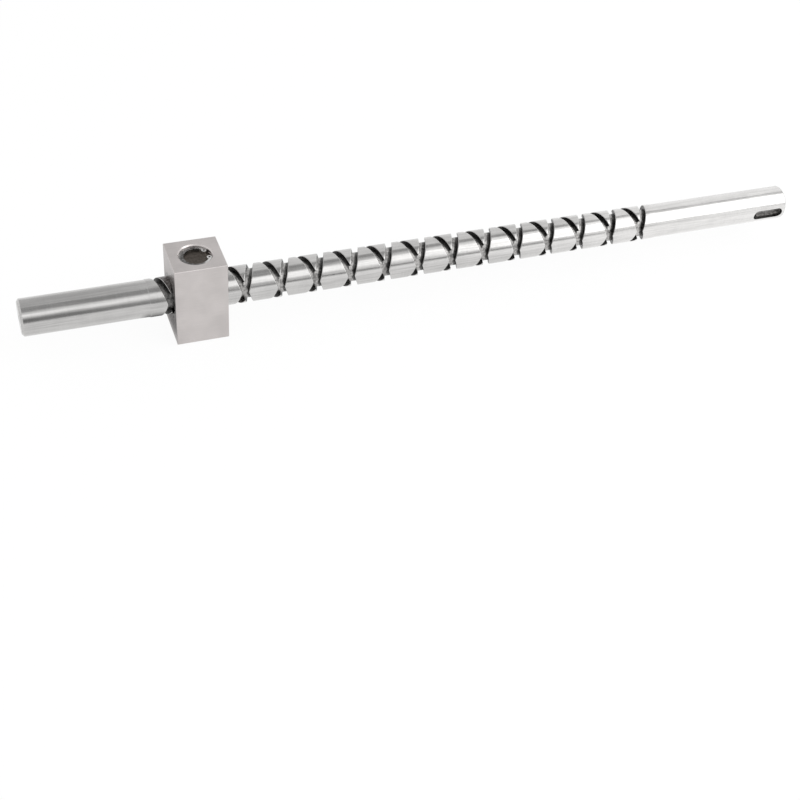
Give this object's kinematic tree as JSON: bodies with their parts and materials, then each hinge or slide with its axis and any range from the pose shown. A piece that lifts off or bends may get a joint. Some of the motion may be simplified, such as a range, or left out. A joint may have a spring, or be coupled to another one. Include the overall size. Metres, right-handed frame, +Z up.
{
  "type": "reciprocating lead screw",
  "caption": "Cross-grooved reversing screw with plain and keyed journals, carrying a square-edged nut block whose pivoting follower rides the groove under a circlipped cover.",
  "frame": {"origin": "on the screw's axis, in the middle of its plain journal's bearing seat", "axes": "+X along the screw towards its keyed end, +Z up through the nut's follower and circlip"},
  "size_m": [0.3679, 0.022, 0.0382],
  "materials": {
    "screw_steel": "ground and polished",
    "nut_steel": "satin, fine brushed",
    "bronze": "machined",
    "wiper_case": "pressed steel case round an oiled felt",
    "follower_bronze": "machined and lapped",
    "washer_steel": "bright",
    "cover_steel": "oil-blackened",
    "rubber": "matt",
    "spring_steel": "phosphated, worn bright at the eyes"
  },
  "bodies": {
    "screw": {"screw_shaft": "screw_steel"},
    "guide_bushes": {"left_bush": "bronze", "right_bush": "bronze"},
    "nut": {"nut_block": "nut_steel", "left_wiper": "wiper_case", "right_wiper": "wiper_case", "follower_bush": "bronze", "thrust_washer": "washer_steel", "disc_spring": "washer_steel", "cover_disc": "cover_steel", "o_ring": "rubber", "circlip": "spring_steel"},
    "follower": {"follower": "follower_bronze"}
  },
  "joints": [
    {"name": "nut_travel", "type": "slide", "parent": "screw", "child": "guide_bushes", "axis": [1, 0, 0], "range_m": [-0.01601, 0.20801]},
    {"name": "nut_turn", "type": "hinge", "parent": "guide_bushes", "child": "nut", "pos_m": [0.04751, 0, 0], "axis": [1, 0, 0], "range_deg": [-360, 4680]},
    {"name": "follower_swivel", "type": "hinge", "parent": "nut", "child": "follower", "pos_m": [0.04751, 0, 0.0105], "axis": [0, 0, 1], "range_deg": [-1, 1]}
  ],
  "couplings": [
    {"joint": "nut_travel", "follows": "nut_turn", "m_per_rad": 0.0025465}
  ]
}
